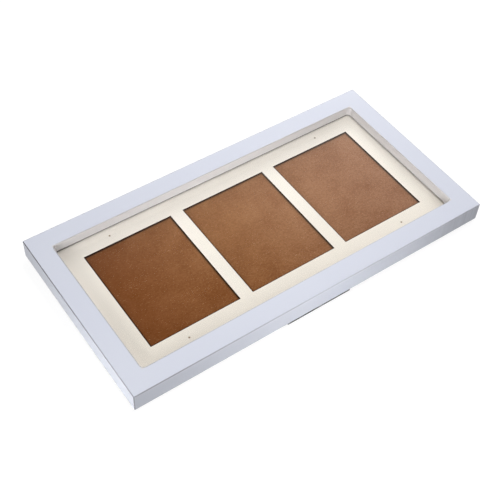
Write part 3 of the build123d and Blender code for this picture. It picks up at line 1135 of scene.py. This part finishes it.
# %% Parts of a fastener
HEAD_SIDES = 32
HEAD_RINGS = 16
SHANK_SIDES = 16
THREAD_SIDES = 3
THREAD_STEPS = 14
CROWN_SHARE = 0.8
POINT_RADIUS = 0.75  # of the recess's reach
POINT_DEPTH = 1.6  # of the recess's depth
CORE_TIP = 0.15  # of the shank's radius, as are the next two
THREAD_TIP = 0.3
NAIL_TIP = 0.7
THREADED_LENGTH = 0.8  # of the shank's length
TAIL_SPREAD = 1.3


def cone(tree, sides, bottom, top, depth):
    """A cone, blunt or sharp, that stands on z = 0."""
    sockets = {"Vertices": sides, "Radius Bottom": bottom, "Radius Top": top, "Depth": depth}
    return tree.add("GeometryNodeMeshCone", {}, sockets)


def pan_head(tree, radius, height):
    """A ball squashed flat above z = 0, with a flat crown below."""
    sockets = {"Segments": HEAD_SIDES, "Rings": HEAD_RINGS, "Radius": 1.0}
    ball = tree.add("GeometryNodeMeshUVSphere", {}, sockets)
    x, y, z = tree.parts(tree.add("GeometryNodeInputPosition"))
    drop = z.most(-CROWN_SHARE).least(0.0) / CROWN_SHARE
    squashed = tree.vector(X=x * radius, Y=y * radius, Z=drop * height)
    head = tree.add("GeometryNodeSetPosition", {}, {"Geometry": ball, "Position": squashed})
    return welded(tree, head)


def cross_cutter(tree, reach, width, depth, level):
    """Two crossed bars and a cone, standing in the head's crown."""
    bars = [tree.add("GeometryNodeMeshCube", {}, {"Size": tree.vector(X=x, Y=y, Z=depth * 2)})
            for x, y in ((reach * 2, width), (width, reach * 2))]
    point = cone(tree, SHANK_SIDES, reach * POINT_RADIUS, 0.0, depth * POINT_DEPTH)
    cutter = tree.add("GeometryNodeMeshBoolean", {"operation": "UNION"}, {"Mesh 2": bars + [point]})
    return moved(tree, cutter, Z=level)


def threaded_shank(tree, radius, length, pitch, depth):
    """A tapered core with a spiral ridge round it."""
    core = cone(tree, SHANK_SIDES, radius - depth, radius * CORE_TIP, length)
    threaded = length * THREADED_LENGTH
    spiral = tree.add("GeometryNodeCurveSpiral", {}, {
        "Resolution": THREAD_STEPS, "Rotations": threaded / pitch, "Start Radius": radius - depth,
        "End Radius": radius * THREAD_TIP, "Height": threaded})
    thread = tree.add("GeometryNodeCurveToMesh", {}, {
        "Curve": spiral, "Profile Curve": circle(tree, THREAD_SIDES, depth), "Fill Caps": True})
    return [core, thread]


# %% Recipes for screws and nails
SEED = 7


def set_out(recipe, *parts):
    """Puts a fastener on each point, turned about its own axis by a random angle."""
    tree = recipe.tree
    turns = tree.add("FunctionNodeRandomValue", {"data_type": "FLOAT_VECTOR"}, {
        "Min": (0, 0, 0), "Max": (0, 0, 2 * pi), "Seed": recipe.size("Seed")})
    recipe.finish(repeated(tree, recipe.start, joined(tree, *parts), Rotation=turns))
    return recipe


def screw_recipe(name, sizes):
    recipe = Recipe(name, sizes)
    tree, size = recipe.tree, recipe.size
    head = pan_head(tree, size("Head radius"), size("Head height"))
    cutter = cross_cutter(tree, size("Recess reach"), size("Recess width"), size("Recess depth"),
                          size("Head height") * -1)
    recessed = tree.add("GeometryNodeMeshBoolean", {"operation": "DIFFERENCE"},
                        {"Mesh 1": head, "Mesh 2": cutter})
    shank = threaded_shank(tree, size("Shank radius"), size("Shank length"),
                           size("Thread pitch"), size("Thread depth"))
    return set_out(recipe, recessed, *shank)


def nail_recipe(name, sizes):
    recipe = Recipe(name, sizes)
    tree, size = recipe.tree, recipe.size
    head = pan_head(tree, size("Head radius"), size("Head height"))
    radius = size("Shank radius")
    shank = cone(tree, SHANK_SIDES, radius, radius * NAIL_TIP, size("Shank length"))
    return set_out(recipe, head, shank)


def rivet_recipe(name, sizes):
    """A flush rivet: crowned head in a countersink, shank, and a tail rolled over by the set."""
    recipe = Recipe(name, sizes)
    tree, size = recipe.tree, recipe.size
    rim, crown, radius = size("Rim radius"), size("Crown"), size("Shank radius")
    head = moved(tree, pan_head(tree, rim, crown), Z=crown)
    countersunk = moved(tree, cone(tree, HEAD_SIDES, rim, radius, size("Sink") - crown), Z=crown)
    straight = cone(tree, HEAD_SIDES, radius, radius, size("Length") - crown * 2)
    shank = moved(tree, straight, Z=crown)
    rolled = pan_head(tree, radius * TAIL_SPREAD, crown)
    tail = moved(tree, rolled, turn=(pi, 0, 0), Z=size("Length") - crown)
    return set_out(recipe, head, countersunk, shank, tail)


# %% Drive the screws and nails
RECESS_REACH = 0.52  # of the head's radius, as is the width
RECESS_WIDTH = 0.26
RECESS_DEPTH = 0.5  # of the head's height
THREAD_DEPTH = 0.28  # of the shank's radius


def fasten(node, name, recipe, level, body):
    """Builds a set of fasteners at the solids of a CAD node, and puts it in their place."""
    piece = recipe.build(name, empty_mesh(seats(node, level)))
    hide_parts(node)
    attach(piece, body)


def reach_of(node):
    """Lowest level, highest level and one solid's radius of a node of upright fasteners."""
    low, high = solid_boxes(node)[0]
    return low.z, high.z, (high.x - low.x) / 2


def screw_set(node, name, head_height, shank_radius, pitch):
    low, high, head_radius = reach_of(node)
    recipe = screw_recipe(name.replace("_", " "), {
        "Head radius": head_radius, "Head height": head_height, "Shank radius": shank_radius,
        "Shank length": high - low - head_height, "Recess reach": head_radius * RECESS_REACH,
        "Recess width": head_radius * RECESS_WIDTH, "Recess depth": head_height * RECESS_DEPTH,
        "Thread pitch": pitch, "Thread depth": shank_radius * THREAD_DEPTH, "Seed": SEED,
        "Finish": zinc_steel,
    })
    fasten(node, name, recipe, low + head_height, "frame")


screw_set("turn_button_screws", "pivot_screws", 1.1 * MM, 1.6 * MM, 1.4 * MM)
screw_set("hinge_screws", "leaf_screws", 0.9 * MM, 1.1 * MM, 1.0 * MM)

NAIL_HEAD_HEIGHT = 0.5 * MM
NAIL_SHANK_RADIUS = 0.7 * MM
nail_low, nail_high, nail_radius = reach_of("hanger_nails")
nails = nail_recipe("hanger nails", {
    "Head radius": nail_radius, "Head height": NAIL_HEAD_HEIGHT, "Shank radius": NAIL_SHANK_RADIUS,
    "Shank length": nail_high - nail_low - NAIL_HEAD_HEIGHT, "Seed": SEED, "Finish": brassed_steel,
})
fasten("hanger_nails", "driven_nails", nails, nail_low + NAIL_HEAD_HEIGHT, "frame")

RIVET_CROWN = 0.25 * MM
RIVET_RIM_RADIUS = 1.85 * MM
RIVET_SHANK_RADIUS = 1.2 * MM
RIVET_SINK = 0.9 * MM
rivet_low, rivet_high, _ = reach_of("hinge_rivets")
rivets = rivet_recipe("hinge rivets", {
    "Rim radius": RIVET_RIM_RADIUS, "Crown": RIVET_CROWN, "Shank radius": RIVET_SHANK_RADIUS,
    "Sink": RIVET_SINK, "Length": rivet_high - rivet_low, "Seed": SEED, "Finish": zinc_steel,
})
fasten("hinge_rivets", "set_rivets", rivets, rivet_low, "strut_leg")

# %% [markdown]
# ## Edges that a lamp can find
# Nothing real has a knife edge. The pieces that keep their CAD shape are copied, their loose
# triangles are merged, the flat faces are made whole again, and every sharp edge gets a small
# bevel of the size that its material has: a sawn board is softer than a pressed steel sheet.

# %% Ease the edges
SHARP_ANGLE = radians(35)
COPLANAR_ANGLE = radians(1)
BEVEL_STEPS = 2
EASED = {
    # node: (edge radius, material, slot, body)
    "backboard": (0.30 * MM, brown_board, "brown_hardboard", "frame"),
    "strut": (0.10 * MM, black_board, "black_fibreboard", "strut_leg"),
    "hinge_board_leaf": (0.10 * MM, zinc_steel, "zinc_steel", "frame"),
    "hinge_strut_leaf": (0.10 * MM, zinc_steel, "zinc_steel", "strut_leg"),
    "hinge_pin": (0.12 * MM, zinc_steel, "zinc_steel", "frame"),
    "hanger_left": (0.12 * MM, brassed_steel, "brassed_steel", "frame"),
    "hanger_right": (0.12 * MM, brassed_steel, "brassed_steel", "frame"),
}
TURN_BUTTON_EDGE = 0.20 * MM
for node_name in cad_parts:
    if node_name.startswith("turn_button_") and node_name != "turn_button_screws":
        EASED[node_name] = (TURN_BUTTON_EDGE, zinc_steel, "zinc_steel", node_name)


def eased_piece(node, radius, material, slot, body):
    source = put(node + "_copy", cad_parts[node].data.copy())
    source.modifiers.new("merge points", "WELD").merge_threshold = WELD
    whole = source.modifiers.new("whole faces", "DECIMATE")
    whole.decimate_type = "DISSOLVE"
    whole.angle_limit = COPLANAR_ANGLE
    bevel = source.modifiers.new("eased edges", "BEVEL")
    bevel.width = radius
    bevel.segments = BEVEL_STEPS
    bevel.limit_method = "ANGLE"
    bevel.angle_limit = SHARP_ANGLE
    bevel.use_clamp_overlap = True
    piece = smooth_piece("eased_" + node, worked_out(source), material)
    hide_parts(node)
    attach(piece, body)


for node_name, eased_values in EASED.items():
    eased_piece(node_name, *eased_values)
